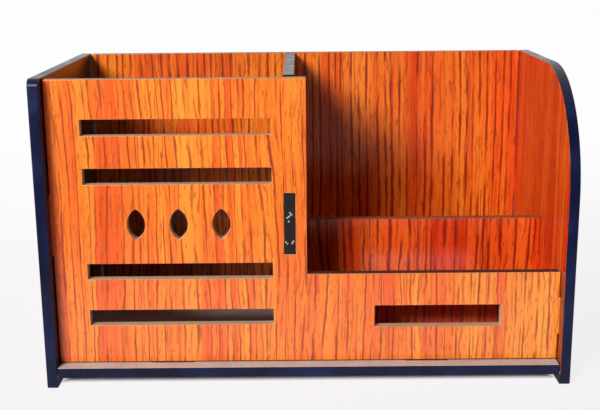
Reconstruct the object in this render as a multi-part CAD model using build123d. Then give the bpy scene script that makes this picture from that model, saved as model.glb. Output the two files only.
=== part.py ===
from build123d import *
import os

os.makedirs("parts", exist_ok=True)

# Desk stand for pens and cards, made of flat sheets of MDF that lock together with
# tabs and slots. Sizes are in millimetres. The front faces -Y, +X is the right hand
# of someone facing it, and Z = 0 is the table.

# Overall sizes
WIDTH = 200.0               # over the outer faces of the two side panels
DEPTH = 101.0               # front edges to back edges of the side panels
HEIGHT = 118.5              # table to the top edges of the side panels
SHEET = 4.0                 # thickness of every sheet

# Where the inner sheets stand
FOOT = 4.2                  # the side panels reach this far below the base
FRONT_LIP = 5.8             # the base and the sides stand this far in front of the front panel
PEN_BAY_WIDTH = 87.4        # clear width of the tall bay on the left
CARD_BAY_DEPTH = 32.2       # clear depth of the low bay behind the low part of the front
FRONT_TOP_DROP = 0.9        # tall part of the front, below the top of the sides
BACK_TOP_DROP = 0.3         # back panel and centre divider, below the top of the sides
LOW_FRONT_TOP = 43.3        # table to the top edge of the low part of the front
BAY_DIVIDER_TOP = 55.4      # table to the top edge of the divider in the right bay
TALL_OVERHANG = 4.4         # the tall part of the front runs this far past the centre divider

# Outlines of the side panels
SWEEP_RADIUS = 46.0         # top front corner of the right side panel
TOP_CORNER_RADIUS = 3.0     # the other top corners
FOOT_CORNER_RADIUS = 1.0    # the corners that stand on the table

# Slots across the tall part of the front: five rows, the middle one holds the motif
SLOT_ROWS = 5
MOTIF_ROW = 2
SLOT_HEIGHT = 6.1
SLOT_PITCH = 18.35
SLOT_TOP_MARGIN = 14.7      # top edge of the panel to the first slot
SLOT_LEFT_MARGIN = 12.8     # left side panel to the slots
SLOT_RIGHT_MARGIN = 4.5     # slots to the centre divider

# Three leaf-shaped cut-outs in the middle row
LEAF_COUNT = 3
LEAF_PITCH = 16.0
LEAF_WIDTH = 6.8
LEAF_HEIGHT = 11.8

# Window in the low part of the front
WINDOW_HEIGHT = 8.5
WINDOW_TOP_MARGIN = 12.8
WINDOW_LEFT_MARGIN = 25.7   # from the step in the front panel
WINDOW_RIGHT_MARGIN = 22.3  # from the right side panel

# Tabs and the slots that take them
JOINT_GAP = 0.2             # clearance on every side of a tab in its slot
SHOULDER_GAP = 0.3          # between a sheet's shoulder and the sheet that it meets
LONG_TAB = 23.3             # in the middle of the tall upright edges
SHORT_TAB = 14.6            # in the middle of the low upright edges
BASE_TAB = 20.0             # two on each end of the base
BASE_TAB_INSET = 15.0       # from the front and back edges of the base to its tabs
FOOT_TAB = 16.0             # under the upright sheets, through the base


def span(centre, length):
    """Return the two ends of a length laid out from its middle."""
    return (centre - length / 2, centre + length / 2)


def middle(ends):
    """Return the point halfway between two ends."""
    return (ends[0] + ends[1]) / 2


def rect(across, up, grow=0.0):
    """Draw a rectangle between two pairs of ends, grown on every side."""
    width = across[1] - across[0] + 2 * grow
    height = up[1] - up[0] + 2 * grow
    return Pos(middle(across), middle(up)) * Rectangle(width, height)


def slot_for(across, up):
    """Draw the slot that takes a tab of this size with the joint's clearance."""
    return rect(across, up, JOINT_GAP)


def cut_facing_x(sketch, thickness_ends):
    """Cut a side or a divider: a sketch in Y and Z through one sheet's thickness."""
    plane = Plane.YZ.offset(thickness_ends[0])
    return extrude(plane * sketch, amount=thickness_ends[1] - thickness_ends[0])


def cut_facing_y(sketch, thickness_ends):
    """Cut an upright cross sheet: a sketch in X and Z through one sheet's thickness."""
    plane = Plane.XZ.offset(-thickness_ends[1])
    return extrude(plane * sketch, amount=thickness_ends[1] - thickness_ends[0])


def cut_facing_z(sketch, thickness_ends):
    """Cut a level sheet: a sketch in X and Y through one sheet's thickness."""
    plane = Plane.XY.offset(thickness_ends[0])
    return extrude(plane * sketch, amount=thickness_ends[1] - thickness_ends[0])


# Where each sheet's thickness lies
outer_left = -WIDTH / 2
outer_right = WIDTH / 2
front_edge = -DEPTH / 2
back_edge = DEPTH / 2
left_side_x = (outer_left, outer_left + SHEET)
right_side_x = (outer_right - SHEET, outer_right)
base_z = (FOOT, FOOT + SHEET)
front_y = (front_edge + FRONT_LIP, front_edge + FRONT_LIP + SHEET)
back_y = (back_edge - SHEET, back_edge)
centre_x = (left_side_x[1] + PEN_BAY_WIDTH, left_side_x[1] + PEN_BAY_WIDTH + SHEET)
bay_y = (front_y[1] + CARD_BAY_DEPTH, front_y[1] + CARD_BAY_DEPTH + SHEET)

# Bodies of the sheets between their shoulders
cross_x = (left_side_x[1] + SHOULDER_GAP, right_side_x[0] - SHOULDER_GAP)
bay_x = (centre_x[1] + SHOULDER_GAP, right_side_x[0] - SHOULDER_GAP)
centre_y = (front_y[1] + SHOULDER_GAP, back_y[0] - SHOULDER_GAP)

# Top edges, and the step between the tall and the low part of the front
front_top = HEIGHT - FRONT_TOP_DROP
back_top = HEIGHT - BACK_TOP_DROP
step_x = centre_x[1] + TALL_OVERHANG

# Upright edges carry one tab each, halfway up
front_tab_z = span((base_z[1] + front_top) / 2, LONG_TAB)
back_tab_z = span((base_z[1] + back_top) / 2, LONG_TAB)
low_tab_z = span((base_z[1] + LOW_FRONT_TOP) / 2, SHORT_TAB)
bay_tab_z = span((base_z[1] + BAY_DIVIDER_TOP) / 2, SHORT_TAB)

# Tabs of the base into the sides, and of the upright sheets into the base
base_tabs_y = [
    (front_edge + BASE_TAB_INSET, front_edge + BASE_TAB_INSET + BASE_TAB),
    (back_edge - BASE_TAB_INSET - BASE_TAB, back_edge - BASE_TAB_INSET),
]
pen_bay_x = (left_side_x[1], centre_x[0])
right_bay_x = (centre_x[1], right_side_x[0])
cross_foot_tabs_x = [
    span(middle(pen_bay_x), FOOT_TAB),
    span(middle(right_bay_x), FOOT_TAB),
]
bay_foot_tab_x = span(middle(right_bay_x), FOOT_TAB)
centre_foot_tab_y = span(middle(centre_y), FOOT_TAB)


def side_outline(front_radius):
    """Draw a side panel in Y and Z, with its top front corner rounded as given."""
    outline = rect((front_edge, back_edge), (0, HEIGHT))
    corners = outline.vertices().sort_by(Axis.Y)
    feet = corners[:2]
    tops = corners[2:].sort_by(Axis.X)
    outline = fillet(feet, FOOT_CORNER_RADIUS)
    outline = fillet(nearest(outline, tops[1]), TOP_CORNER_RADIUS)
    return fillet(nearest(outline, tops[0]), front_radius)


def nearest(sketch, corner):
    """Find a sketch's vertex that lies where a corner was before another one was rounded."""
    return sketch.vertices().sort_by_distance(corner.center())[0]


def side_panel(thickness_ends, front_radius, cross_slots):
    """Cut a side panel with the slots that take the base, the back and other sheets."""
    outline = side_outline(front_radius)
    for tab_y in base_tabs_y:
        outline -= slot_for(tab_y, base_z)
    # The back panel is flush with the back edges, so its slot is a notch open to the back
    outline -= slot_for((back_y[0], back_y[1] + SHEET), back_tab_z)
    for sheet_y, tab_z in cross_slots:
        outline -= slot_for(sheet_y, tab_z)
    return cut_facing_x(outline, thickness_ends)


def left_side_panel():
    """The left side keeps its full height to the front."""
    return side_panel(left_side_x, TOP_CORNER_RADIUS, [(front_y, front_tab_z)])


def right_side_panel():
    """The right side sweeps down to the low front in one large round corner."""
    return side_panel(right_side_x, SWEEP_RADIUS, [(front_y, low_tab_z), (bay_y, bay_tab_z)])


def base_panel():
    """The base lies between the sides and is slotted for the upright sheets."""
    outline = rect(cross_x, (front_edge, back_edge))
    for tab_y in base_tabs_y:
        outline += rect((outer_left, outer_right), tab_y)
    for tab_x in cross_foot_tabs_x:
        outline -= slot_for(tab_x, front_y)
        outline -= slot_for(tab_x, (back_y[0], back_y[1] + SHEET))
    outline -= slot_for(bay_foot_tab_x, bay_y)
    outline -= slot_for(centre_x, centre_foot_tab_y)
    return cut_facing_z(outline, base_z)


def leaf():
    """Draw one leaf: two arcs that meet in a point above and below."""
    tip = LEAF_HEIGHT / 2
    bulge = LEAF_WIDTH / 2
    right_arc = ThreePointArc((0, -tip), (bulge, 0), (0, tip))
    left_arc = ThreePointArc((0, tip), (-bulge, 0), (0, -tip))
    return make_face([right_arc, left_arc])


def front_panel():
    """One L-shaped sheet: tall over the pen bay, low in front of the card bay."""
    outline = rect((cross_x[0], step_x), (base_z[1], front_top))
    outline += rect((cross_x[0], cross_x[1]), (base_z[1], LOW_FRONT_TOP))
    outline += rect((outer_left, step_x), front_tab_z) - rect((step_x - SHEET, step_x), front_tab_z)
    outline += rect((step_x, outer_right), low_tab_z)
    for tab_x in cross_foot_tabs_x:
        outline += rect(tab_x, (base_z[0], base_z[1] + SHEET))

    slot_x = (left_side_x[1] + SLOT_LEFT_MARGIN, centre_x[0] - SLOT_RIGHT_MARGIN)
    for row in range(SLOT_ROWS):
        slot_top = front_top - SLOT_TOP_MARGIN - row * SLOT_PITCH
        slot_z = (slot_top - SLOT_HEIGHT, slot_top)
        if row == MOTIF_ROW:
            for place in range(LEAF_COUNT):
                leaf_x = middle(slot_x) + (place - (LEAF_COUNT - 1) / 2) * LEAF_PITCH
                outline -= Pos(leaf_x, middle(slot_z)) * leaf()
        else:
            outline -= rect(slot_x, slot_z)

    window_x = (step_x + WINDOW_LEFT_MARGIN, right_side_x[0] - WINDOW_RIGHT_MARGIN)
    window_top = LOW_FRONT_TOP - WINDOW_TOP_MARGIN
    outline -= rect(window_x, (window_top - WINDOW_HEIGHT, window_top))

    outline -= slot_for(centre_x, front_tab_z)
    return cut_facing_y(outline, front_y)


def back_panel():
    """The back closes all the bays and takes the centre divider's rear tab."""
    outline = rect(cross_x, (base_z[1], back_top))
    outline += rect((outer_left, outer_right), back_tab_z)
    for tab_x in cross_foot_tabs_x:
        outline += rect(tab_x, (base_z[0], base_z[1] + SHEET))
    outline -= slot_for(centre_x, back_tab_z)
    return cut_facing_y(outline, back_y)


def centre_divider():
    """The centre divider runs front to back between the pen bay and the right bay."""
    outline = rect(centre_y, (base_z[1], back_top))
    outline += rect((front_y[0], middle(centre_y)), front_tab_z)
    outline += rect((middle(centre_y), back_y[1]), back_tab_z)
    outline += rect(centre_foot_tab_y, (base_z[0], base_z[1] + SHEET))
    outline -= slot_for(bay_y, bay_tab_z)
    return cut_facing_x(outline, centre_x)


def bay_divider():
    """The low divider parts the right bay into a front pocket and a rear one."""
    outline = rect(bay_x, (base_z[1], BAY_DIVIDER_TOP))
    outline += rect((centre_x[0], outer_right), bay_tab_z)
    outline += rect(bay_foot_tab_x, (base_z[0], base_z[1] + SHEET))
    return cut_facing_y(outline, bay_y)


pieces = {
    "left_side_panel": left_side_panel(),
    "right_side_panel": right_side_panel(),
    "base_panel": base_panel(),
    "front_panel": front_panel(),
    "back_panel": back_panel(),
    "centre_divider": centre_divider(),
    "bay_divider": bay_divider(),
}
for name, piece in pieces.items():
    export_step(piece, f"parts/{name}.step")
    print(name, round(piece.volume / 1000, 2), "cm3")
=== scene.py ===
# %% [markdown]
# # A desk stand for pens and cards, dressed for its portrait
#
# The real stand is laser-cut from sheets of MDF, 4 mm thick, that lock together with
# tabs and slots. Both faces of most sheets carry a printed wood-grain laminate, and the
# edges of some are lacquered dark blue while others stay as the laser left them. The
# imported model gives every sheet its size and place, in metres, and this file gives
# the sheets their worn corners, finishes and light.

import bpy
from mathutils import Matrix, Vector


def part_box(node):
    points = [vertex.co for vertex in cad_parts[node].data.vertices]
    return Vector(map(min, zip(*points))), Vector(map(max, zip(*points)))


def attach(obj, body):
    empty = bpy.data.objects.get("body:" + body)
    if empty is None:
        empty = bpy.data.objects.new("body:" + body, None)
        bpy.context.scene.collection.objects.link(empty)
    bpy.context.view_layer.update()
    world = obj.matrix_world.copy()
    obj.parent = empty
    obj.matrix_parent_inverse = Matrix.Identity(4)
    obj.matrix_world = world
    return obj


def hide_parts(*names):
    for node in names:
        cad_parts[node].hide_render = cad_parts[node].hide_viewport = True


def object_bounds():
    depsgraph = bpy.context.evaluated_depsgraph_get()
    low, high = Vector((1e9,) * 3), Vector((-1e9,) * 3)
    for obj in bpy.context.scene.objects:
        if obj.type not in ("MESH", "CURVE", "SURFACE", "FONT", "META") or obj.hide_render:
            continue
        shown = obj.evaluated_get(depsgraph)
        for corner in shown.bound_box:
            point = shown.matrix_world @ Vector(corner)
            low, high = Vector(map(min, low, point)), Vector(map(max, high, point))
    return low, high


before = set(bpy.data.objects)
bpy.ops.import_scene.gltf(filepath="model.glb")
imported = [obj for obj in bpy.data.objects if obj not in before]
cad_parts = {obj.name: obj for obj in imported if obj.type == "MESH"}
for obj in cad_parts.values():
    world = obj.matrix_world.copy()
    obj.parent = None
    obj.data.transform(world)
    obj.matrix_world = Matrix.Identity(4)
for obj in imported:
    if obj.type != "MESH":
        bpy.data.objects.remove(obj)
cad_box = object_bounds()
print("sheets:", sorted(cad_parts))
print("box of the packed model:", [[round(v, 4) for v in corner] for corner in cad_box])

# %% [markdown]
# ## Two helpers for the whole file
# Colours are read off real things as sRGB hex values, but shaders work in linear
# light, so one function turns the first into the second. The other adds one node with
# its settings, its links and the stops of its ramp, so that a recipe for a finish reads
# top to bottom. It takes the names that Blender itself uses.

# %% Colours and nodes
from math import cos, radians, sin

import bmesh
import bpy
from mathutils import Matrix, Vector

MM = 0.001


def linear(hex_colour):
    """Turn an sRGB hex colour such as '#F27A30' into linear red, green, blue and alpha."""
    channels = [int(hex_colour[i:i + 2], 16) / 255 for i in (1, 3, 5)]
    curve = [c / 12.92 if c <= 0.04045 else ((c + 0.055) / 1.055) ** 2.4 for c in channels]
    return (*curve, 1.0)


def add(tree, kind, inputs=None, stops=(), **settings):
    """Add one node, with its settings. An input is a value, a hex colour or the output that it is
    linked from. A colour ramp also has stops, each a place from 0 to 1 and a colour or a value."""
    node = tree.nodes.new(kind)
    for name, value in settings.items():
        setattr(node, name, value)
    for name, value in (inputs or {}).items():
        if isinstance(value, bpy.types.NodeSocket):
            tree.links.new(value, node.inputs[name])
        else:
            node.inputs[name].default_value = linear(value) if isinstance(value, str) else value
    for number, (place, tone) in enumerate(stops):
        elements = node.color_ramp.elements
        stop = elements[number] if number < len(elements) else elements.new(place)
        stop.position = place
        stop.color = linear(tone) if isinstance(tone, str) else (tone, tone, tone, 1)
    return node


print("a mid grey in linear light:", [round(c, 3) for c in linear("#808080")])

# %% [markdown]
# ## The camera
# The portrait was taken from a little above and straight in front, close enough for
# strong perspective: the side panels lean in towards their feet. The camera could be
# aimed at the stand with a constraint, but the aim found from the edges of the stand
# has a small turn and a small tilt, so it is written out as three angles.

# %% Camera
CAMERA_PLACE = (-0.0022, -0.4184, 0.1612)
CAMERA_TURN = radians(0.078)      # to the left
CAMERA_PITCH = radians(13.68)     # down from level
CAMERA_TILT = radians(-0.489)     # clockwise, seen from behind the camera
SENSOR_WIDTH = 36.0
FOCAL_LENGTH = 61.98              # 1033 pixels across a picture 600 pixels wide


def put_in_scene(name, data):
    """Make an object of a camera, a lamp or a mesh, put it in the scene and return it."""
    new_object = bpy.data.objects.new(name, data)
    bpy.context.scene.collection.objects.link(new_object)
    return new_object


camera = put_in_scene("camera", bpy.data.cameras.new("camera"))
aim = (
    Matrix.Rotation(CAMERA_TURN, 4, "Z")
    @ Matrix.Rotation(radians(90) - CAMERA_PITCH, 4, "X")
    @ Matrix.Rotation(CAMERA_TILT, 4, "Z")
)
camera.matrix_world = Matrix.Translation(CAMERA_PLACE) @ aim
camera.data.sensor_width = SENSOR_WIDTH
camera.data.lens = FOCAL_LENGTH
bpy.context.scene.camera = camera
print("camera:", CAMERA_PLACE, "lens", FOCAL_LENGTH, "mm")

# %% [markdown]
# ## The laminate
# Laminate is printed paper soaked in melamine resin and pressed onto the board, so it
# is hard, glossy and nearly smooth. Melamine has an IOR of about 1.6, and the roughness
# is low. The print is an orange wood with the grain upright: strips from yellow-orange
# to red with a thin brown growth line between one and the next, and finer broken lines
# and short pores inside them. An image would show all that, but it couldn't be
# resized. The recipe instead splits the width of the board into strips of random width.
# A line's stops say how strong it is at a distance from the edge of its strip.

# %% Sizes and tones of the laminate
STRIP_WIDTH = 3.6                # mm, mean width of a strip between growth lines
VEIN_WIDTH = 2.1                 # mm, mean distance of the finer lines
PORE_SIZE = (0.55, 3.8)          # mm across and along, as fine as the render can show
STRIP_TONES = [
    (0.10, "#D4500C"), (0.28, "#E35C1E"), (0.42, "#E6711E"), (0.60, "#EB8226"), (0.85, "#F0922E"),
]
GROWTH_COLOUR = "#8C2600"
VEIN_COLOUR = "#A84006"
PORE_COLOUR = "#9C3A04"
GROWTH_LINE = [(0.00, 1.0), (0.05, 0.9), (0.11, 0.0)]
VEIN_LINE = [(0.00, 0.8), (0.09, 0.6), (0.20, 0.0)]
SWELL = [(0.34, 1.2), (0.66, 0.65)]            # how narrow and how wide a growth line gets
PORES = [(0.60, 0.0), (0.70, 0.75)]
print("laminate: strips of", STRIP_WIDTH, "mm, veins of", VEIN_WIDTH, "mm, pores of", PORE_SIZE, "mm")

# %% [markdown]
# Wood changes slowly along the grain and quickly across it, so every noise in the
# recipe is stretched to a width and a length in millimetres. Each is taken from a layer
# of its own, so that no two look alike. Noise also bends the board, in long sways and
# short ripples, so no line is straight.

# %% Start of a recipe, noise with a grain, and bending
BENDS = (                        # width, length and reach in mm of what bends the grain
    (60.0, 150.0, 16.0), (13.0, 190.0, 9.0), (14.0, 34.0, 2.4), (5.0, 14.0, 1.2), (1.6, 3.2, 0.7),
)
VEIN_BEND = (4.0, 11.0, 2.6)     # the finer lines bend a little more
VEIN_BEND_LAYER = len(BENDS)


def blank_material(name):
    """Start a material and return it with its tree and its shader."""
    material = bpy.data.materials.new(name)
    material.use_nodes = True
    return material, material.node_tree, material.node_tree.nodes["Principled BSDF"]


def grain_noise(tree, place, width, length, layer, detail=1.0):
    """Noise from 0 to 1 over the board, stretched to a width and a length in mm."""
    stretched = add(
        tree, "ShaderNodeVectorMath", {0: place, 1: (1 / width, 1 / length, layer)},
        operation="MULTIPLY",
    ).outputs[0]
    return add(
        tree, "ShaderNodeTexNoise", {"Vector": stretched, "Scale": 1, "Detail": detail},
    ).outputs[0]


def bent(tree, place, across, layer, width, length, reach):
    """Push the place across the board by noise, by up to about a quarter of the reach."""
    push = grain_noise(tree, place, width, length, layer)
    return add(
        tree, "ShaderNodeMath", {0: push, 1: reach, 2: across}, operation="MULTIPLY_ADD",
    ).outputs[0]


print("bends of the grain, the longest", max(length for _, length, _ in BENDS), "mm long")

# %% [markdown]
# A Voronoi texture in one dimension scatters points along the width of the board and
# gives every place the strip of its nearest point. From it come both the tone of each
# strip and the distance to its edge, where a line is drawn. A wave texture would be
# simpler, but its strips would all be equally wide. The lines swell and fade along
# their length, as printed grain does.

# %% Strips and lines
FACTOR, FIRST, SECOND, MIXED = 0, 6, 7, 2      # sockets of a Mix node that mixes colours
GROWTH_SWELL_NOISE = (3, 14, 10)               # width and length in mm, and the layer
GROWTH_FADE = ((3, 18, 8), (0.36, 0.54, 0.12))     # noise, where it is faint and full, the least ink
VEIN_FADE = ((3, 12, 9), (0.42, 0.56, 0.0))


def strips(tree, across, width):
    """Split the width of the board into strips: the tone of each and the distance to its edge."""
    place = add(tree, "ShaderNodeMath", {0: across, 1: 1 / width}, operation="MULTIPLY").outputs[0]
    cell = add(tree, "ShaderNodeTexVoronoi", {"W": place, "Scale": 1}, voronoi_dimensions="1D")
    edge = add(
        tree, "ShaderNodeTexVoronoi", {"W": place, "Scale": 1},
        voronoi_dimensions="1D", feature="DISTANCE_TO_EDGE",
    )
    tone = add(tree, "ShaderNodeSeparateColor", {0: cell.outputs["Color"]}).outputs[0]
    return tone, edge.outputs["Distance"]


def broken_line(tree, board, edge, stops, fade, bold):
    """Draw a line along the edges of strips, in full or faint by patches: 1 where it is inked."""
    noise, (faint, full, least) = fade
    line = add(tree, "ShaderNodeValToRGB", {"Fac": edge}, stops).outputs[0]
    strength = add(
        tree, "ShaderNodeValToRGB", {"Fac": grain_noise(tree, board, *noise)},
        [(faint, least), (full, min(bold, 1.0))],
    ).outputs[0]
    return add(tree, "ShaderNodeMath", {0: line, 1: strength}, operation="MULTIPLY").outputs[0]


print("growth lines fade over", GROWTH_FADE[0][1], "mm and veins over", VEIN_FADE[0][1], "mm")

# %% [markdown]
# The recipe adds up what tones the wood, which is slow clouds, the strips, a fine haze
# and the veins, and one ramp turns the sum into a colour. It inks the pores and the
# lines over that, and multiplies all by the colour that deepens the sheet. The lines
# are pressed in a little and are less glossy, which breaks up reflections.

# %% The recipe for laminate
CLOUD_NOISE = (320, 6, 2)        # length in mm, layer and detail; the width is chosen per sheet
HAZE_NOISE = (1.3, 60, 7, 2)     # width and length in mm, layer and detail
PORE_NOISE = (*PORE_SIZE, 11, 2)
STRIP_SHARE, HAZE_SHARE, VEIN_SHARE = 0.26, 0.5, 0.12
LEVEL_LOW, LEVEL_HIGH = -0.05, 0.85            # sums that get the first and the last tone
SHIFT_ACROSS = 41                # mm across the board for each unit of a sheet's shift
LINE_GLOSS = [(0.0, 0.20), (1.0, 0.30)]        # roughness beside a line and on it
LINE_DEPTH = 0.03                # mm


def laminate(name, shift, depth, bold, sway, cloud, cloud_width):
    """Wood-grain laminate: its shift, a colour that deepens it, how bold and how bent its lines
    are, and how strong and how wide in mm the clouds of its tone are."""
    material, tree, shader = blank_material(name)
    place = add(tree, "ShaderNodeTexCoord").outputs["Object"]
    across, up = (
        add(tree, "ShaderNodeVectorMath", {0: place, 1: way}, operation="DOT_PRODUCT").outputs["Value"]
        for way in ((1 / MM, 1 / MM, 0), (0, 0, 1 / MM))
    )
    board = add(tree, "ShaderNodeCombineXYZ", {"X": across, "Y": up, "Z": shift}).outputs[0]
    moved = add(
        tree, "ShaderNodeMath", {0: across, 1: SHIFT_ACROSS * shift}, operation="ADD",
    ).outputs[0]
    for layer, (width, length, reach) in enumerate(BENDS, start=1):
        moved = bent(tree, board, moved, layer, width, length, reach * sway)
    tone, edge = strips(tree, moved, STRIP_WIDTH)
    vein_place = bent(tree, board, moved, VEIN_BEND_LAYER, *VEIN_BEND)
    vein_tone, vein_edge = strips(tree, vein_place, VEIN_WIDTH)

    # The tone of the wood
    clouds = grain_noise(tree, board, cloud_width, *CLOUD_NOISE)
    haze = grain_noise(tree, board, *HAZE_NOISE)
    level = -0.5 * cloud         # noise is 0.5 on the whole, so clouds change no mean tone
    for part, share in (
        (clouds, cloud), (tone, STRIP_SHARE), (haze, HAZE_SHARE), (vein_tone, VEIN_SHARE),
    ):
        level = add(
            tree, "ShaderNodeMath", {0: part, 1: share, 2: level}, operation="MULTIPLY_ADD",
        ).outputs[0]
    level = add(
        tree, "ShaderNodeMapRange", {"Value": level, "From Min": LEVEL_LOW, "From Max": LEVEL_HIGH},
    ).outputs[0]
    colour = add(tree, "ShaderNodeValToRGB", {"Fac": level}, STRIP_TONES).outputs[0]

    # The lines and the pores
    swell = add(
        tree, "ShaderNodeValToRGB", {"Fac": grain_noise(tree, board, *GROWTH_SWELL_NOISE)}, SWELL,
    ).outputs[0]
    swollen = add(tree, "ShaderNodeMath", {0: edge, 1: swell}, operation="MULTIPLY").outputs[0]
    narrowed = add(tree, "ShaderNodeMath", {0: swollen, 1: bold}, operation="DIVIDE").outputs[0]
    growth = broken_line(tree, board, narrowed, GROWTH_LINE, GROWTH_FADE, bold)
    veins = broken_line(tree, board, vein_edge, VEIN_LINE, VEIN_FADE, bold)
    pores = add(
        tree, "ShaderNodeValToRGB", {"Fac": grain_noise(tree, board, *PORE_NOISE)}, PORES,
    ).outputs[0]
    for drawn, ink in ((pores, PORE_COLOUR), (veins, VEIN_COLOUR), (growth, GROWTH_COLOUR)):
        colour = add(
            tree, "ShaderNodeMix", {FACTOR: drawn, FIRST: colour, SECOND: ink}, data_type="RGBA",
        ).outputs[MIXED]
    deepened = add(
        tree, "ShaderNodeMix", {FACTOR: 1.0, FIRST: colour, SECOND: depth},
        data_type="RGBA", blend_type="MULTIPLY",
    ).outputs[MIXED]
    tree.links.new(deepened, shader.inputs["Base Color"])

    # How the lines feel: pressed in a little and less glossy
    pressed = add(tree, "ShaderNodeMath", {0: growth, 1: veins}, operation="MAXIMUM").outputs[0]
    dulled = add(tree, "ShaderNodeValToRGB", {"Fac": pressed}, LINE_GLOSS).outputs[0]
    tree.links.new(dulled, shader.inputs["Roughness"])
    relief = add(
        tree, "ShaderNodeBump", {"Height": pressed, "Strength": 0.4, "Distance": LINE_DEPTH * MM},
        invert=True,
    )
    tree.links.new(relief.outputs[0], shader.inputs["Normal"])
    shader.inputs["IOR"].default_value = 1.6
    return material


print("layers of noise in the recipe: 1 to", PORE_NOISE[2])

# %% [markdown]
# Every sheet is cut from another place in the board, so each gets the same recipe with
# its own shift. The front is the palest, and the back is redder, with bolder and
# straighter lines. The inner rim of the right side is deeper beside the low front. The
# insides of the walls, which see little light, get a much darker copy as painted shade.

# %% A laminate for each place
LAMINATES = {                    # shift, depth of colour, boldness, bend, strength and width of clouds
    "front_panel": (3.1, "#FFFCFC", 0.9, 0.8, 1.4, 22),
    "back_panel": (7.4, "#FFE0D8", 1.5, 0.45, 1.6, 12),
    "left_side_panel": (12.9, "#E8BCAC", 0.8, 0.6, 1.5, 22),
    "right_side_panel": (17.3, "#FFA8B0", 1.2, 0.6, 3.6, 16),
    "right_side_rim": (17.3, "#98686A", 1.2, 0.6, 1.5, 16),
    # painted shade: a much darker copy of the laminate for the inner faces of the walls
    "walls_inside_painted_shade": (23.8, "#5E4050", 0.7, 0.6, 1.5, 22),
    "bay_divider": (29.2, "#F6A8B0", 1.6, 0.8, 1.8, 14),
}
laminates = {
    place: laminate("wood_grain_laminate_" + place, *choice) for place, choice in LAMINATES.items()
}
print("laminates:", sorted(laminates))

# %% [markdown]
# ## The lacquered edges
# The edges of the sides, the base and the centre divider are brushed with dark blue
# nitrocellulose lacquer, and the brush ran over the lip of the left side as well.
# On the soft core of MDF it sinks in unevenly, so to the eye it is nearly black, glossy
# and rippled, and where two coats overlap it is a shade paler. A noise a few
# millimetres across does the ripple and another does the coats. A coat of paint is too
# thin to be a piece of its own, so it is a finish.

# %% Edge lacquer
LACQUER_RIPPLE = 2.2             # mm
LACQUER_PATCH = 14.0             # mm
LACQUER_COATS = [(0.35, "#070A20"), (0.55, "#0C1232"), (0.75, "#161E48")]
LACQUER_GLOSS = [(0.3, 0.22), (0.7, 0.38)]     # roughness of one coat and of two
RIPPLE_DEPTH = 0.05              # mm


def edge_lacquer():
    """Dark blue lacquer brushed on a sawn MDF edge: glossy, a little uneven."""
    material, tree, shader = blank_material("dark_blue_edge_lacquer")
    place = add(tree, "ShaderNodeTexCoord").outputs["Object"]
    patches = add(
        tree, "ShaderNodeTexNoise", {"Vector": place, "Scale": 1 / (LACQUER_PATCH * MM), "Detail": 3},
    )
    for stops, socket in ((LACQUER_COATS, "Base Color"), (LACQUER_GLOSS, "Roughness")):
        spread = add(tree, "ShaderNodeValToRGB", {"Fac": patches.outputs[0]}, stops)
        tree.links.new(spread.outputs[0], shader.inputs[socket])
    ripple = add(
        tree, "ShaderNodeTexNoise", {"Vector": place, "Scale": 1 / (LACQUER_RIPPLE * MM), "Detail": 2},
    )
    relief = add(
        tree, "ShaderNodeBump",
        {"Height": ripple.outputs[0], "Strength": 0.35, "Distance": RIPPLE_DEPTH * MM},
    )
    tree.links.new(relief.outputs[0], shader.inputs["Normal"])
    shader.inputs["IOR"].default_value = 1.5
    shader.inputs["Specular IOR Level"].default_value = 0.2    # the core drinks some of the gloss
    return material


lacquer = edge_lacquer()
print("material:", lacquer.name)

# %% [markdown]
# ## Bare MDF
# MDF is wood fibre pressed with resin, matt and fine-grained. Its sanded face is pale:
# the base has no laminate, as the strip in front of the stand shows. An edge that the
# laser cut is browner and less even, and the slower or the closer the cut was, the
# darker it got: some edges are toasted, some charred and a few burnt nearly black. The
# charred tone also paints a contact shadow along the bottom of the front, and the burnt
# one paints shade on the inner faces of the feet. One recipe makes all five, with other
# colours, because the stuff is the same.

# %% Bare MDF
FIBRE = 0.45                     # mm, clumps of fibre, as coarse as they need to be to show
CLOUD = 7.0                      # mm, the slow change of tone over the board
SPECKLE_STOPS = (0.30, 0.50, 0.70)
CLOUDINESS = [(0.3, 0.86), (0.7, 1.0)]         # how much a cloud darkens the board
FIBRE_DEPTH = 0.06               # mm


def bare_mdf(name, *tones):
    """Unfinished fibreboard in three tones: matt, faintly speckled and cloudy."""
    material, tree, shader = blank_material(name)
    place = add(tree, "ShaderNodeTexCoord").outputs["Object"]
    clumps, clouds = (
        add(
            tree, "ShaderNodeTexNoise", {"Vector": place, "Scale": 1 / (size * MM), "Detail": detail},
        ).outputs[0]
        for size, detail in ((FIBRE, 3), (CLOUD, 2))
    )
    speckle = add(
        tree, "ShaderNodeValToRGB", {"Fac": clumps}, list(zip(SPECKLE_STOPS, tones)),
    ).outputs[0]
    cloudy = add(tree, "ShaderNodeValToRGB", {"Fac": clouds}, CLOUDINESS).outputs[0]
    toned = add(
        tree, "ShaderNodeMix", {FACTOR: 1.0, FIRST: speckle, SECOND: cloudy},
        data_type="RGBA", blend_type="MULTIPLY",
    ).outputs[MIXED]
    tree.links.new(toned, shader.inputs["Base Color"])
    relief = add(
        tree, "ShaderNodeBump", {"Height": clumps, "Strength": 0.6, "Distance": FIBRE_DEPTH * MM},
    )
    tree.links.new(relief.outputs[0], shader.inputs["Normal"])
    shader.inputs["Roughness"].default_value = 0.85
    shader.inputs["IOR"].default_value = 1.5
    shader.inputs["Specular IOR Level"].default_value = 0.3    # loose fibre scatters the rest
    return material


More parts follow.
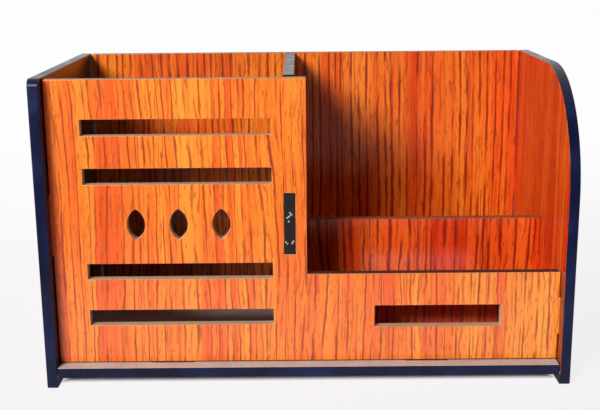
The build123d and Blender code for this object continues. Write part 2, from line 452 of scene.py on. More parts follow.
sanded_mdf = bare_mdf("sanded_mdf_face", "#BAA89C", "#CCBCB1", "#DACCC2")        # pale and dusty
cut_mdf = bare_mdf("laser_cut_mdf_edge", "#A8805F", "#CCA888", "#DCBCA0")        # like biscuit
toasted_mdf = bare_mdf("toasted_mdf_edge", "#7A3C1C", "#98522C", "#AC6840")      # a warm brown
# charred top of the low front, and the painted contact shadow along the bottom of the front
charred_and_shadow_mdf = bare_mdf("charred_edge_and_painted_shadow_mdf", "#2E1206", "#46200C", "#5C3016")      # a dark outline
# burnt end of the divider's tab, and painted shade on the inner faces of the feet
burnt_and_shade_mdf = bare_mdf("burnt_edge_and_painted_shade_mdf", "#0C080A", "#141012", "#201A1C")          # soot
print("materials:", [m.name for m in (sanded_mdf, cut_mdf, toasted_mdf, charred_and_shadow_mdf, burnt_and_shade_mdf)])

# %% [markdown]
# ## The plain sheets
# Six of the sheets are flat outlines with slots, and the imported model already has
# them. A sheet could be shown as it is, but its arrises would be sharper than any real
# ones and catch no light. So each is copied, its loose triangles are merged into one
# shell, and a small bevel is run round it. A polygon that faces the way the sheet does
# is its face, and any other is part of its edge, which decides the finish.

# %% The sheets and their finishes
FACE_SHARE = 0.9                 # a polygon is the sheet's face above this share of its normal
ACROSS_X, ACROSS_Y, ACROSS_Z = 0, 1, 2

SHEETS = {                       # direction of the thickness, finish of the faces and of the edges
    "left_side_panel": (ACROSS_X, laminates["left_side_panel"], lacquer, "laminated_mdf"),
    "right_side_panel": (ACROSS_X, laminates["right_side_panel"], lacquer, "laminated_mdf"),
    "base_panel": (ACROSS_Z, sanded_mdf, lacquer, "base_mdf"),
    "back_panel": (ACROSS_Y, laminates["back_panel"], cut_mdf, "laminated_mdf"),
    # painted shade: the centre divider is all in the darker copy of the laminate
    "centre_divider": (ACROSS_X, laminates["walls_inside_painted_shade"], lacquer, "laminated_mdf"),
    "bay_divider": (ACROSS_Y, laminates["bay_divider"], cut_mdf, "laminated_mdf"),
}
print("plain sheets:", len(SHEETS))

# %% [markdown]
# A few places break that rule. The lacquer runs over the inner side of the left lip and
# stops in line with the front. The rim of the right side is deeper beside the low front.
# Some edges are toasted, charred or burnt. The inner faces of the left side, the centre
# divider and the back of the front take the darker copy of the laminate, as painted shade.
# The inner faces of the feet are painted shade in the colour of soot, and a dark line along
# the bottom of the front is a painted contact shadow where it meets the base. A polygon's
# place and direction tell all these, and where the finish changes within a polygon, the
# mesh is cut first.

# %% Places with a finish of their own
LOW_FRONT_TOP = 43.3             # mm
# painted contact shadow: how far up the front the dark line along its bottom reaches
SEAM_SHADOW = 0.45                    # mm, how far up the front is dark along its bottom edge
EDGE_WITH_ARRIS = 0.3            # least share of the normal on a level edge and its bevel
AT_HEIGHT = 0.02                 # mm, how near a level edge lies to its height
CUT_TOLERANCE = 0.001            # mm

front_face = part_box("front_panel")[0].y
base_low, base_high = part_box("base_panel")
low_front_top = LOW_FRONT_TOP * MM
seam_shadow_top = base_high.z + SEAM_SHADOW * MM
rim_cuts = [((0, front_face, 0), (0, 1, 0))]
rim_cuts += [((0, 0, height), (0, 0, 1)) for height in (base_low.z, low_front_top)]


def side_finish(node, polygon):
    """Tell the finish of a polygon on a side panel, where it isn't the panel's own."""
    x, height = polygon.normal.x, polygon.center.z
    faces_in = x * polygon.center.x < 0
    # painted shade: the inner faces of the feet under the base are soot-dark
    if faces_in and height < base_low.z:
        return burnt_and_shade_mdf
    rim = height < base_low.z or polygon.center.y < front_face
    if node == "left_side_panel" and x > 0 and rim:
        return lacquer
    # painted shade: the inner face of the left side gets the darker copy of the laminate
    if node == "left_side_panel" and x > FACE_SHARE:
        return laminates["walls_inside_painted_shade"]
    if node == "right_side_panel" and x < 0 and rim and height < low_front_top:
        return laminates["right_side_rim"]
    return None


def front_finish(polygon):
    """Tell the finish of a polygon on the front sheet, where it isn't the sheet's own."""
    y, height = polygon.normal.y, polygon.center.z
    # painted contact shadow along the bottom of the front where it meets the base; the top of the low
    # front is charred
    in_seam_shadow = y < 0 and height < seam_shadow_top
    if in_seam_shadow or abs(height - low_front_top) < AT_HEIGHT * MM:
        return charred_and_shadow_mdf
    # painted shade: the back of the front gets the darker copy of the laminate
    return laminates["walls_inside_painted_shade"] if y > FACE_SHARE else None


def special_finish(node, polygon):
    """Tell the finish of a polygon where the sheet's own two finishes don't hold."""
    if node.endswith("side_panel"):
        return side_finish(node, polygon)
    if node == "front_panel":
        return front_finish(polygon)
    if node == "centre_divider" and polygon.normal.y < -FACE_SHARE:
        return burnt_and_shade_mdf
    if node == "bay_divider" and polygon.normal.z > EDGE_WITH_ARRIS:
        return toasted_mdf
    return None


def divided(mesh, cuts):
    """Cut new edges across the faces of a mesh, where its finish changes."""
    cut_mesh = bmesh.new()
    cut_mesh.from_mesh(mesh)
    for point, normal in cuts:
        parts = [*cut_mesh.verts, *cut_mesh.edges, *cut_mesh.faces]
        bmesh.ops.bisect_plane(
            cut_mesh, geom=parts, plane_co=point, plane_no=normal, dist=CUT_TOLERANCE * MM,
        )
    cut_mesh.to_mesh(mesh)
    cut_mesh.free()
    return mesh


print("cuts across the side panels:", len(rim_cuts))

# %% [markdown]
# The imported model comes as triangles, each with corners of its own. Merging the corners
# and dissolving the flat edges between triangles gives back the faces that the sheet
# really has, and only its true edges are left for the bevel to find.

# %% Copy a sheet
MERGE_WITHIN = 0.005             # mm
FLAT_WITHIN = radians(0.5)


def merged_shell(node):
    """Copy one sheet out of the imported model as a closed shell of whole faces."""
    shell = bmesh.new()
    shell.from_mesh(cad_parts[node].data)
    bmesh.ops.remove_doubles(shell, verts=shell.verts, dist=MERGE_WITHIN * MM)
    bmesh.ops.dissolve_limit(shell, angle_limit=FLAT_WITHIN, verts=shell.verts, edges=shell.edges)
    mesh = bpy.data.meshes.new(node + "_shell")
    shell.to_mesh(mesh)
    shell.free()
    for left_over in [a.name for a in mesh.attributes if a.name in ("custom_normal", "UVMap")]:
        mesh.attributes.remove(mesh.attributes[left_over])
    return mesh


def made_plain(piece):
    """Give a piece the mesh that its modifiers result in, and take them off."""
    evaluated = piece.evaluated_get(bpy.context.evaluated_depsgraph_get())
    result = bpy.data.meshes.new_from_object(evaluated)
    piece.modifiers.clear()
    piece.data = result
    result.name = piece.name


print("faces of the base as packed:", len(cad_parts["base_panel"].data.polygons))

# %% [markdown]
# The bevel's normals are hardened, so that the faces stay flat in the light and only the
# arris turns. The finishes come after it, because its own polygons need one too.

# %% Dress the plain sheets
ARRIS = 0.25 * MM                # how far the corners of a sheet are rubbed down
ARRIS_STEPS = 2
CORNER_ANGLE = radians(30)       # anything sharper than this is a corner


def finish_sheet(piece, node, across, face_finish, edge_finish):
    """Rub down the corners of a sheet, give it its finishes and set it on its body."""
    bevel = piece.modifiers.new("arris", "BEVEL")
    bevel.width = ARRIS
    bevel.segments = ARRIS_STEPS
    bevel.limit_method = "ANGLE"
    bevel.angle_limit = CORNER_ANGLE
    bevel.use_clamp_overlap = False
    bevel.harden_normals = True
    bevel.loop_slide = False
    piece.data.shade_smooth()
    made_plain(piece)
    chosen = [
        special_finish(node, polygon)
        or (face_finish if abs(polygon.normal[across]) > FACE_SHARE else edge_finish)
        for polygon in piece.data.polygons
    ]
    finishes = sorted(set(chosen), key=chosen.index)
    piece.data.materials.clear()
    for finish in finishes:
        piece.data.materials.append(finish)
    for polygon, finish in zip(piece.data.polygons, chosen):
        polygon.material_index = finishes.index(finish)
    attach(piece, "root")
    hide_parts(node)
    print(piece.name, len(piece.data.polygons), "faces:", [finish.name for finish in finishes])


for node, (across, face_finish, edge_finish, slot) in SHEETS.items():
    shell = divided(merged_shell(node), rim_cuts if across == ACROSS_X else ())
    piece = put_in_scene(node + "_dressed", shell)
    finish_sheet(piece, node, across, face_finish, edge_finish)

# %% [markdown]
# ## The front sheet
# The front is the piece that a maker would draw first. Its outline is one L, and what
# is cut through it follows a rule: rows of long slots at an even pitch, with a row of
# leaves in the middle row's place, a window in the low part and a slot for the
# divider's tab. So it is drawn here as the laser would cut it. The outline is a loop
# of edges, Geometry Nodes lay the cut-outs over it, Fill Curve makes the flat
# sheet with its holes, and Extrude gives it its thickness. Cutting the holes with
# booleans would look the same and be slower and less sure.
#
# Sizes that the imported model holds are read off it, and the rest are written here.

# %% Sizes of the front sheet, in mm
SHEET = 4.0
JOINT_GAP = 0.2
SHOULDER_GAP = 0.3
TALL_OVERHANG = 4.4
LONG_TAB = 23.3
SHORT_TAB = 14.6
FOOT_TAB = 16.0
SLOT_ROWS = 5
LEAF_ROW = 2
SLOT_HEIGHT = 6.1
SLOT_PITCH = 18.35
SLOT_TOP_MARGIN = 14.7
SLOT_LEFT_MARGIN = 12.8
SLOT_RIGHT_MARGIN = 4.5
LEAF_COUNT = 3
LEAF_PITCH = 16.0
LEAF_WIDTH = 6.8
LEAF_HEIGHT = 11.8
LEAF_ARC_POINTS = 17
WINDOW_HEIGHT = 8.5
WINDOW_TOP_MARGIN = 12.8
WINDOW_LEFT_MARGIN = 25.7
WINDOW_RIGHT_MARGIN = 22.3
CORNERS_MEET = 0.01              # lines closer than this are joined

front_low, front_high = (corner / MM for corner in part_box("front_panel"))
left_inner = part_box("left_side_panel")[1].x / MM
right_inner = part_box("right_side_panel")[0].x / MM
divider_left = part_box("centre_divider")[0].x / MM
divider_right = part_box("centre_divider")[1].x / MM
base_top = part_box("base_panel")[1].z / MM
step = divider_right + TALL_OVERHANG
tall_tab = [(base_top + front_high.z + sign * LONG_TAB) / 2 for sign in (-1, 1)]
low_tab = [(base_top + LOW_FRONT_TOP + sign * SHORT_TAB) / 2 for sign in (-1, 1)]
print("front sheet from", [round(v, 2) for v in front_low], "to", [round(v, 2) for v in front_high])

# %% [markdown]
# The outline runs round the sheet once. Every corner is a place where two straight
# cuts meet, so the list holds only those.

# %% Outline of the front sheet
left_end = left_inner + SHOULDER_GAP
right_end = right_inner - SHOULDER_GAP
foot_tabs = [
    (middle - FOOT_TAB / 2, middle + FOOT_TAB / 2)
    for middle in ((left_inner + divider_left) / 2, (divider_right + right_inner) / 2)
]
outline = [(left_end, base_top)]
for start, end in foot_tabs:
    outline += [(start, base_top), (start, front_low.z), (end, front_low.z), (end, base_top)]
outline += [
    (right_end, base_top), (right_end, low_tab[0]), (front_high.x, low_tab[0]),
    (front_high.x, low_tab[1]), (right_end, low_tab[1]), (right_end, LOW_FRONT_TOP),
    (step, LOW_FRONT_TOP), (step, front_high.z), (left_end, front_high.z),
    (left_end, tall_tab[1]), (front_low.x, tall_tab[1]), (front_low.x, tall_tab[0]),
    (left_end, tall_tab[0]),
]
drawing = bpy.data.meshes.new("front_outline")
corners = [(x * MM, z * MM, 0) for x, z in outline]
drawing.from_pydata(corners, [(i, (i + 1) % len(corners)) for i in range(len(corners))], [])
front_sheet = put_in_scene("front_panel_dressed", drawing)
print("outline with", len(corners), "corners")

# %% [markdown]
# The tree works in the flat: X is across the sheet and Y is up it. A leaf is one arc
# and its mirror image. The rows are points on a line, the leaf row is picked by
# its number, and at the end the flat sheet is stood up and thickened.

# %% Sizes, counts and places of the cut-outs
slot_left, slot_right = left_inner + SLOT_LEFT_MARGIN, divider_left - SLOT_RIGHT_MARGIN
window_left, window_right = step + WINDOW_LEFT_MARGIN, right_inner - WINDOW_RIGHT_MARGIN
first_row_height = front_high.z - SLOT_TOP_MARGIN - SLOT_HEIGHT / 2
window_middle = LOW_FRONT_TOP - WINDOW_TOP_MARGIN - WINDOW_HEIGHT / 2
tab_slot_place = ((divider_left + divider_right) / 2 * MM, sum(tall_tab) / 2 * MM, 0.0)
FRONT_VALUES = {                 # inputs of the tree, lengths and places in metres
    "Slot length": (slot_right - slot_left) * MM,
    "Slot height": SLOT_HEIGHT * MM,
    "Row pitch": SLOT_PITCH * MM,
    "Leaf width": LEAF_WIDTH * MM,
    "Leaf height": LEAF_HEIGHT * MM,
    "Leaf pitch": LEAF_PITCH * MM,
    "Window width": (window_right - window_left) * MM,
    "Window height": WINDOW_HEIGHT * MM,
    "Tab slot width": (divider_right - divider_left + 2 * JOINT_GAP) * MM,
    "Tab slot height": (LONG_TAB + 2 * JOINT_GAP) * MM,
    "Thickness": SHEET * MM,
    "Rows": SLOT_ROWS,
    "Leaf row": LEAF_ROW,
    "Leaves": LEAF_COUNT,
    "First row": ((slot_left + slot_right) / 2 * MM, first_row_height * MM, 0.0),
    "Window place": ((window_left + window_right) / 2 * MM, window_middle * MM, 0.0),
    "Tab slot place": tab_slot_place,
}
print("slots", round(slot_right - slot_left, 2), "mm long, window", WINDOW_HEIGHT, "mm high")

# %% Start a tree, and run it on a piece
SOCKET_KINDS = {float: "NodeSocketFloat", int: "NodeSocketInt", tuple: "NodeSocketVector"}


def new_tree(name, values):
    """Start a Geometry Nodes tree with an input for each value, and return it with its inputs."""
    tree = bpy.data.node_groups.new(name, "GeometryNodeTree")
    sockets = tree.interface
    for way in ("INPUT", "OUTPUT"):
        sockets.new_socket(name="Geometry", in_out=way, socket_type="NodeSocketGeometry")
    for given_name, value in values.items():
        sockets.new_socket(name=given_name, in_out="INPUT", socket_type=SOCKET_KINDS[type(value)])
    return tree, add(tree, "NodeGroupInput").outputs


def run_tree(piece, tree, values):
    """Run a tree on a piece with these values, and keep what comes out as the piece's mesh."""
    modifier = piece.modifiers.new(tree.name, "NODES")
    modifier.node_group = tree
    for socket in tree.interface.items_tree:
        if socket.in_out == "INPUT" and socket.name in values:
            modifier[socket.identifier] = values[socket.name]
    made_plain(piece)


tree, given = new_tree("laser_cut_front", FRONT_VALUES)
print("inputs:", ", ".join(FRONT_VALUES))

# %% One leaf: an arc from tip to tip and its mirror image, joined in a loop
tip = add(tree, "ShaderNodeMath", {0: given["Leaf height"], 1: 0.5}, operation="MULTIPLY").outputs[0]
bottom_tip = add(tree, "ShaderNodeMath", {0: tip, 1: -1.0}, operation="MULTIPLY").outputs[0]
bulge = add(tree, "ShaderNodeMath", {0: given["Leaf width"], 1: 0.5}, operation="MULTIPLY").outputs[0]
arc = add(
    tree, "GeometryNodeCurveArc", {
        "Resolution": LEAF_ARC_POINTS,
        "Start": add(tree, "ShaderNodeCombineXYZ", {"Y": bottom_tip}).outputs[0],
        "Middle": add(tree, "ShaderNodeCombineXYZ", {"X": bulge}).outputs[0],
        "End": add(tree, "ShaderNodeCombineXYZ", {"Y": tip}).outputs[0],
    }, mode="POINTS",
).outputs["Curve"]
mirrored = add(tree, "GeometryNodeTransform", {"Geometry": arc, "Scale": (-1, 1, 1)}).outputs[0]
two_arcs = add(tree, "GeometryNodeJoinGeometry")
tree.links.new(arc, two_arcs.inputs[0])
tree.links.new(mirrored, two_arcs.inputs[0])
leaf_wire = add(tree, "GeometryNodeCurveToMesh", {"Curve": two_arcs.outputs[0]}).outputs[0]
leaf_loop = add(
    tree, "GeometryNodeMergeByDistance", {"Geometry": leaf_wire, "Distance": CORNERS_MEET * MM},
).outputs[0]
leaf = add(tree, "GeometryNodeMeshToCurve", {"Mesh": leaf_loop}).outputs[0]
print("a leaf is", LEAF_WIDTH, "x", LEAF_HEIGHT, "mm")

# %% The row of leaves, centred on its own origin
leaf_gap = add(tree, "ShaderNodeCombineXYZ", {"X": given["Leaf pitch"]}).outputs[0]
gaps = add(tree, "ShaderNodeMath", {0: given["Leaves"], 1: 1.0}, operation="SUBTRACT").outputs[0]
half_row = add(tree, "ShaderNodeMath", {0: gaps, 1: -0.5}, operation="MULTIPLY").outputs[0]
row_start = add(
    tree, "ShaderNodeVectorMath", {0: leaf_gap, "Scale": half_row}, operation="SCALE",
).outputs[0]
leaf_points = add(
    tree, "GeometryNodeMeshLine",
    {"Count": given["Leaves"], "Start Location": row_start, "Offset": leaf_gap},
).outputs[0]
leaf_row = add(
    tree, "GeometryNodeInstanceOnPoints", {"Points": leaf_points, "Instance": leaf},
).outputs[0]
print("leaves in their row:", LEAF_COUNT)

# %% All rows: slots, but leaves where the number says
down = add(tree, "ShaderNodeMath", {0: given["Row pitch"], 1: -1.0}, operation="MULTIPLY").outputs[0]
rows = add(
    tree, "GeometryNodeMeshLine", {
        "Count": given["Rows"],
        "Start Location": given["First row"],
        "Offset": add(tree, "ShaderNodeCombineXYZ", {"Y": down}).outputs[0],
    },
).outputs[0]
number = add(tree, "GeometryNodeInputIndex").outputs[0]
FIRST_INTEGER, SECOND_INTEGER = 2, 3           # sockets of a Compare node that compares integers
is_leaf_row = add(
    tree, "FunctionNodeCompare", {FIRST_INTEGER: number, SECOND_INTEGER: given["Leaf row"]},
    data_type="INT", operation="EQUAL",
).outputs[0]
is_slot_row = add(tree, "FunctionNodeBooleanMath", {0: is_leaf_row}, operation="NOT").outputs[0]
long_slot = add(
    tree, "GeometryNodeCurvePrimitiveQuadrilateral",
    {"Width": given["Slot length"], "Height": given["Slot height"]},
).outputs[0]
slots, leaves = (
    add(
        tree, "GeometryNodeInstanceOnPoints",
        {"Points": rows, "Selection": chosen_rows, "Instance": cut_out},
    ).outputs[0]
    for chosen_rows, cut_out in ((is_slot_row, long_slot), (is_leaf_row, leaf_row))
)
print("rows:", SLOT_ROWS, "at a pitch of", SLOT_PITCH, "mm, leaves in row", LEAF_ROW)

# %% Window, slot for the divider's tab, and all in one flat drawing
lines = add(tree, "GeometryNodeJoinGeometry")
outline_curve = add(tree, "GeometryNodeMeshToCurve", {"Mesh": given["Geometry"]}).outputs[0]
tree.links.new(outline_curve, lines.inputs[0])
for cut in (slots, leaves):
    tree.links.new(cut, lines.inputs[0])
for name in ("Window", "Tab slot"):
    opening = add(
        tree, "GeometryNodeCurvePrimitiveQuadrilateral",
        {"Width": given[name + " width"], "Height": given[name + " height"]},
    ).outputs[0]
    placed = add(
        tree, "GeometryNodeTransform", {"Geometry": opening, "Translation": given[name + " place"]},
    )
    tree.links.new(placed.outputs[0], lines.inputs[0])
real_lines = add(tree, "GeometryNodeRealizeInstances", {"Geometry": lines.outputs[0]}).outputs[0]
flat = add(tree, "GeometryNodeFillCurve", {"Curve": real_lines}).outputs[0]
print("nodes so far:", len(tree.nodes))

# %% [markdown]
# Extrude moves the flat face out and builds the cut edges, but leaves nothing behind.
# So the same face is turned round and joined at the back, which closes the sheet. Then
# the sheet is stood up in its place, made real and given its laminate.

# %% Thickness and place of the front sheet
raised = add(
    tree, "GeometryNodeExtrudeMesh",
    {"Mesh": flat, "Offset Scale": given["Thickness"], "Individual": False},
)
behind = add(tree, "GeometryNodeFlipFaces", {"Mesh": flat}).outputs[0]
halves = add(tree, "GeometryNodeJoinGeometry")
tree.links.new(raised.outputs["Mesh"], halves.inputs[0])
tree.links.new(behind, halves.inputs[0])
closed = add(
    tree, "GeometryNodeMergeByDistance",
    {"Geometry": halves.outputs[0], "Distance": CORNERS_MEET * MM},
).outputs[0]
stood_up = add(
    tree, "GeometryNodeTransform", {
        "Geometry": closed,
        "Rotation": (radians(90), 0, 0),
        "Translation": (0, front_high.y * MM, 0),
    },
).outputs[0]
real = add(tree, "GeometryNodeRealizeInstances", {"Geometry": stood_up}).outputs[0]
dressed = add(
    tree, "GeometryNodeSetMaterial", {"Geometry": real, "Material": laminates["front_panel"]},
).outputs[0]
add(tree, "NodeGroupOutput", {0: dressed})
print("nodes in the tree:", len(tree.nodes))

# %% Cut the front sheet and finish it
run_tree(front_sheet, tree, FRONT_VALUES)
divided(front_sheet.data, [((0, 0, seam_shadow_top), (0, 0, 1))])
finish_sheet(
    front_sheet, "front_panel", ACROSS_Y, laminates["front_panel"], cut_mdf,
)

# %% [markdown]
# ## The glue
# The joints are tight enough to hold, and a little clear glue keeps them so. Some of it
# has dried on the end of the divider's tab, where it shows in the front, as a smear
# above, a smear below and a few drops. Clear glue that dries in air goes milky, so to
# the eye it is a pale, wet-looking film. It could be a stain in the finish, but real
# glue stands proud and catches the light.

# %% The glue's own material
GLUE_MILK = 1.5                  # mm, patches of paler glue
GLUE_TONES = [(0.3, "#8F8983"), (0.7, "#CFC8BC")]


def dried_glue():
    """Clear glue dried milky: smooth, a little see-through, paler in patches."""
    material, tree, shader = blank_material("dried_clear_glue")
    place = add(tree, "ShaderNodeTexCoord").outputs["Object"]
    milk = add(
        tree, "ShaderNodeTexNoise", {"Vector": place, "Scale": 1 / (GLUE_MILK * MM), "Detail": 2},
    )
    milky = add(tree, "ShaderNodeValToRGB", {"Fac": milk.outputs[0]}, GLUE_TONES).outputs[0]
    tree.links.new(milky, shader.inputs["Base Color"])
    shader.inputs["Roughness"].default_value = 0.22
    shader.inputs["IOR"].default_value = 1.47
    shader.inputs["Transmission Weight"].default_value = 0.35
    return material


glue_material = dried_glue()
print("material:", glue_material.name)

# %% [markdown]
# A dab is a ball squashed against the wood. Geometry Nodes set one at each point, each
# a little larger or smaller, and noise pushes the surface about, so that dabs that lie
# close run into one uneven smear.

# %% Recipe for dabs
DAB_RADIUS = 0.42                # mm
DAB_THICKNESS = 0.35             # share of the radius that it stands proud
DAB_UNEVEN = 0.5                 # mm, how far noise pushes its surface
DAB_SIZES = (0.8, 1.15)          # least and greatest size of a dab, as a share
DAB_SQUASH = 0.85                # share of the width that it is high
DAB_WOBBLE = 1.4                 # mm, how far apart the bumps are
WOBBLE_WAYS = (1, 0.3, 1)        # the bumps push less across the wood's face than along it
LEAST, GREATEST, RANDOM_FLOAT = 2, 3, 1        # sockets of a Random Value node for floats
GLUE_SEED = 5

DAB_VALUES = {
    "Radius": DAB_RADIUS * MM, "Thickness": DAB_THICKNESS, "Unevenness": DAB_UNEVEN * MM,
}
dab_tree, given = new_tree("glue_dabs", DAB_VALUES)
ball = add(
    dab_tree, "GeometryNodeMeshIcoSphere", {"Radius": given["Radius"], "Subdivisions": 4},
).outputs[0]
size = add(
    dab_tree, "FunctionNodeRandomValue",
    {LEAST: DAB_SIZES[0], GREATEST: DAB_SIZES[1], "Seed": GLUE_SEED}, data_type="FLOAT",
).outputs[RANDOM_FLOAT]
squash = add(
    dab_tree, "ShaderNodeCombineXYZ", {"X": 1.0, "Y": given["Thickness"], "Z": DAB_SQUASH},
).outputs[0]
dab_size = add(
    dab_tree, "ShaderNodeVectorMath", {0: squash, "Scale": size}, operation="SCALE",
).outputs[0]
dabs = add(
    dab_tree, "GeometryNodeInstanceOnPoints",
    {"Points": given["Geometry"], "Instance": ball, "Scale": dab_size},
).outputs[0]
real_dabs = add(dab_tree, "GeometryNodeRealizeInstances", {"Geometry": dabs}).outputs[0]
wobble = add(
    dab_tree, "ShaderNodeTexNoise", {"Scale": 1 / (DAB_WOBBLE * MM), "Detail": 1},
).outputs["Color"]
centred = add(
    dab_tree, "ShaderNodeVectorMath", {0: wobble, 1: (0.5, 0.5, 0.5)}, operation="SUBTRACT",
).outputs[0]
flat_push = add(
    dab_tree, "ShaderNodeVectorMath", {0: centred, 1: WOBBLE_WAYS}, operation="MULTIPLY",
).outputs[0]
push = add(
    dab_tree, "ShaderNodeVectorMath", {0: flat_push, "Scale": given["Unevenness"]}, operation="SCALE",
).outputs[0]
uneven = add(dab_tree, "GeometryNodeSetPosition", {"Geometry": real_dabs, "Offset": push}).outputs[0]
smooth = add(dab_tree, "GeometryNodeSetShadeSmooth", {"Geometry": uneven}).outputs[0]
finished = add(
    dab_tree, "GeometryNodeSetMaterial", {"Geometry": smooth, "Material": glue_material},
).outputs[0]
add(dab_tree, "NodeGroupOutput", {0: finished})
print("nodes in the recipe for dabs:", len(dab_tree.nodes))

# %% Glue on the tab
GLUE_DABS = (                    # mm across and up, on the end of the tab: two smears and a few drops
    (-7.5, 65.3), (-6.9, 65.7), (-6.3, 66.3), (-5.8, 66.6), (-6.4, 67.3), (-7.0, 63.9),
    (-8.1, 55.9), (-7.6, 55.3), (-5.7, 55.5), (-5.3, 56.1),
)
dab_points = bpy.data.meshes.new("dab_points")
dab_points.from_pydata([(x * MM, front_low.y * MM, z * MM) for x, z in GLUE_DABS], [], [])
glue = put_in_scene("glue_dabs", dab_points)
run_tree(glue, dab_tree, DAB_VALUES)
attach(glue, "root")
print("glue:", len(GLUE_DABS), "dabs,", len(glue.data.polygons), "faces")

# %% [markdown]
# ## The floor
# The stand stands on white card. The white of the picture must not come from strong
# light, which would bleach the wood, so the card glows by itself, but only to the
# camera and in reflections. To everything else it is plain white card, which throws
# some light up on the front. Under the stand the card doesn't glow, because there it
# is as dark as the real one. In reflections it ends a little way in front of the
# stand, where the dim room begins, so the glossy front keeps its colour.

# %% Floor
FLOOR_SIZE = 12.0                # m
CARD_COLOUR = "#EDEDF0"
CARD_TONES = [(0.40, "#F7F4F8"), (0.62, "#FFFFFF")]      # as the camera sees it, near and far
CARD_SHARE = [(0.42, 0.86), (0.75, 0.98)]      # how much of that is glow
CARD_END = [(0.37, 0.02), (0.43, 1.0)]         # where reflections see it end in front
UNDER_CENTRE = (0.0, 0.0025, 0.0)              # the patch that the base keeps dark, in m
UNDER_HALVES = (0.097, 0.0475)
UNDER_SOFT = 0.004


def mirror_rays(tree, rays):
    """Tell the rays that come from a reflection or through glass: 1 for them, 0 for others."""
    return add(
        tree, "ShaderNodeMath", {0: rays["Is Glossy Ray"], 1: rays["Is Transmission Ray"]},
        operation="MAXIMUM",
    ).outputs[0]


def beside_stand(tree, place):
    """Tell where the card lies in the open: 0 under the base, 1 beyond its rim."""
    off_centre = add(
        tree, "ShaderNodeVectorMath", {0: place, 1: UNDER_CENTRE}, operation="SUBTRACT",
    ).outputs[0]
    away = add(tree, "ShaderNodeVectorMath", {0: off_centre}, operation="ABSOLUTE").outputs[0]
    away_axes = add(tree, "ShaderNodeSeparateXYZ", {0: away}).outputs
    in_the_open = 0.0
    for axis, half in zip("XY", UNDER_HALVES):
        past = add(
            tree, "ShaderNodeMapRange",
            {"Value": away_axes[axis], "From Min": half - UNDER_SOFT, "From Max": half},
        ).outputs[0]
        in_the_open = add(
            tree, "ShaderNodeMath", {0: past, 1: in_the_open}, operation="MAXIMUM",
        ).outputs[0]
    return in_the_open


def white_card():
    """Matt white card that keeps a faint shadow and is white to the camera."""
    material, tree, shader = blank_material("white_card")
    shader.inputs["Base Color"].default_value = linear(CARD_COLOUR)
    shader.inputs["Roughness"].default_value = 0.9
    rays = add(tree, "ShaderNodeLightPath").outputs
    mirrored = mirror_rays(tree, rays)
    place = add(tree, "ShaderNodeTexCoord").outputs["Object"]
    back = add(tree, "ShaderNodeSeparateXYZ", {0: place}).outputs["Y"]
    depth = add(tree, "ShaderNodeMapRange", {"Value": back, "From Min": -1.0}).outputs[0]
    to_camera, to_mirrors, glowing = (
        add(tree, "ShaderNodeValToRGB", {"Fac": depth}, stops).outputs[0]
        for stops in (CARD_TONES, CARD_END, CARD_SHARE)
    )
    seen = rays["Is Camera Ray"]
    for share in (glowing, beside_stand(tree, place)):
        seen = add(tree, "ShaderNodeMath", {0: seen, 1: share}, operation="MULTIPLY").outputs[0]
    seen = add(tree, "ShaderNodeMath", {0: seen, 1: mirrored}, operation="MAXIMUM").outputs[0]
    glow_colour = add(
        tree, "ShaderNodeMix", {FACTOR: mirrored, FIRST: to_camera, SECOND: to_mirrors},
        data_type="RGBA",
    ).outputs[MIXED]
    glow = add(tree, "ShaderNodeEmission", {"Color": glow_colour, "Strength": 1.0}).outputs[0]
    blend = add(tree, "ShaderNodeMixShader", {"Fac": seen, 1: shader.outputs[0], 2: glow})
    tree.links.new(blend.outputs[0], tree.nodes["Material Output"].inputs["Surface"])
    return material


edge = FLOOR_SIZE / 2
floor_mesh = bpy.data.meshes.new("floor")
floor_mesh.from_pydata(
    [(-edge, -edge, 0), (edge, -edge, 0), (edge, edge, 0), (-edge, edge, 0)], [], [(0, 1, 2, 3)],
)
floor_mesh.materials.append(white_card())
floor = put_in_scene("floor", floor_mesh)
print("floor:", FLOOR_SIZE, "m square")

# %% [markdown]
# ## The room
# Three things look at the room, and each sees another one. The camera sees a white
# backdrop. Reflections see it pale behind and above the stand and dim in front, which
# keeps the wood of the front from going milky. All other light finds it faint and
# bluish, so the shadows are cool and deep. A room with real walls would do the same, but
# it would take far longer to render.

# %% World
BACKDROP = "#FDFDFE"
SHADE = (0.30, 0.38, 1.0, 1.0)   # linear tint of the light that has no lamp
SHADE_STRENGTH = 0.04
ROOM_TONES = [(0.25, 0.03), (0.6, 0.95)]       # how bright reflections see it, in front and behind

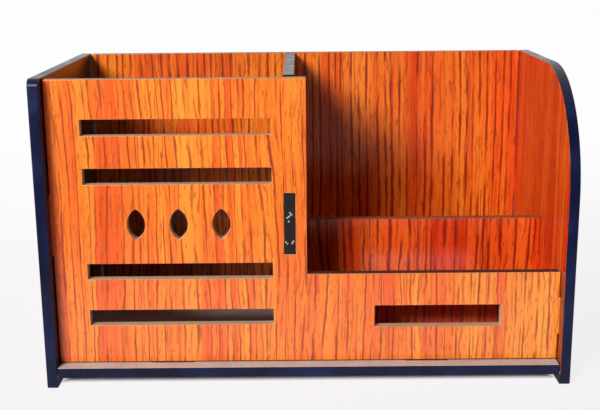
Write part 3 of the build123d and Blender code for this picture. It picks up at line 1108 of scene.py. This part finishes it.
world = bpy.data.worlds.new("studio")
bpy.context.scene.world = world
world.use_nodes = True
tree = world.node_tree
tree.nodes.clear()
rays = add(tree, "ShaderNodeLightPath").outputs
direction = add(tree, "ShaderNodeTexCoord").outputs["Generated"]
towards_back = add(tree, "ShaderNodeSeparateXYZ", {0: direction}).outputs["Y"]
depth = add(tree, "ShaderNodeMapRange", {"Value": towards_back, "From Min": -1.0}).outputs[0]
reflected = add(tree, "ShaderNodeValToRGB", {"Fac": depth}, ROOM_TONES).outputs[0]
shade = add(tree, "ShaderNodeBackground", {"Color": SHADE, "Strength": SHADE_STRENGTH}).outputs[0]
mirror_room = add(tree, "ShaderNodeBackground", {"Color": reflected}).outputs[0]
backdrop = add(tree, "ShaderNodeBackground", {"Color": BACKDROP}).outputs[0]
for_reflections = add(
    tree, "ShaderNodeMixShader", {"Fac": mirror_rays(tree, rays), 1: shade, 2: mirror_room},
).outputs[0]
for_camera = add(
    tree, "ShaderNodeMixShader", {"Fac": rays["Is Camera Ray"], 1: for_reflections, 2: backdrop},
).outputs[0]
add(tree, "ShaderNodeOutputWorld", {"Surface": for_camera})
print("world: shade at", SHADE_STRENGTH)

# %% [markdown]
# ## The lamps
# The shadows in the bays say where the light is. The lip of the left side throws a
# narrow strip of shadow on the front, and the divider throws a soft one that
# widens downwards on the back, so the main light is a broad one, low in front and to
# the left, such as a window. A weak one from the right keeps the shadows open.

# %% Lamps
LAMPS = {            # azimuth from the front and elevation in degrees, then metres and watts
    "window_left": (-29, 25.5, 1.30, 0.50, 0.18, 21.0),
    "fill_right": (30, 25, 1.50, 0.70, 0.60, 0.7),
}
lit_centre = (cad_box[0] + cad_box[1]) / 2
for name, (azimuth, elevation, distance, width, height, power) in LAMPS.items():
    turn, lift = radians(azimuth), radians(elevation)
    towards = Vector((sin(turn) * cos(lift), -cos(turn) * cos(lift), sin(lift)))
    data = bpy.data.lights.new(name, "AREA")
    data.shape = "RECTANGLE"
    data.size, data.size_y = width, height
    data.energy = power
    lamp = put_in_scene(name, data)
    lamp.location = lit_centre + distance * towards
    lamp.rotation_mode = "QUATERNION"
    lamp.rotation_quaternion = towards.to_track_quat("Z", "Y")
    print(name, "at", [round(v, 2) for v in lamp.location])

# %% [markdown]
# ## The view transform
# Plain colours come out as they are written under the Standard view transform. Nothing
# here changes a size.

# %% View transform
bpy.context.scene.view_settings.view_transform = "Standard"
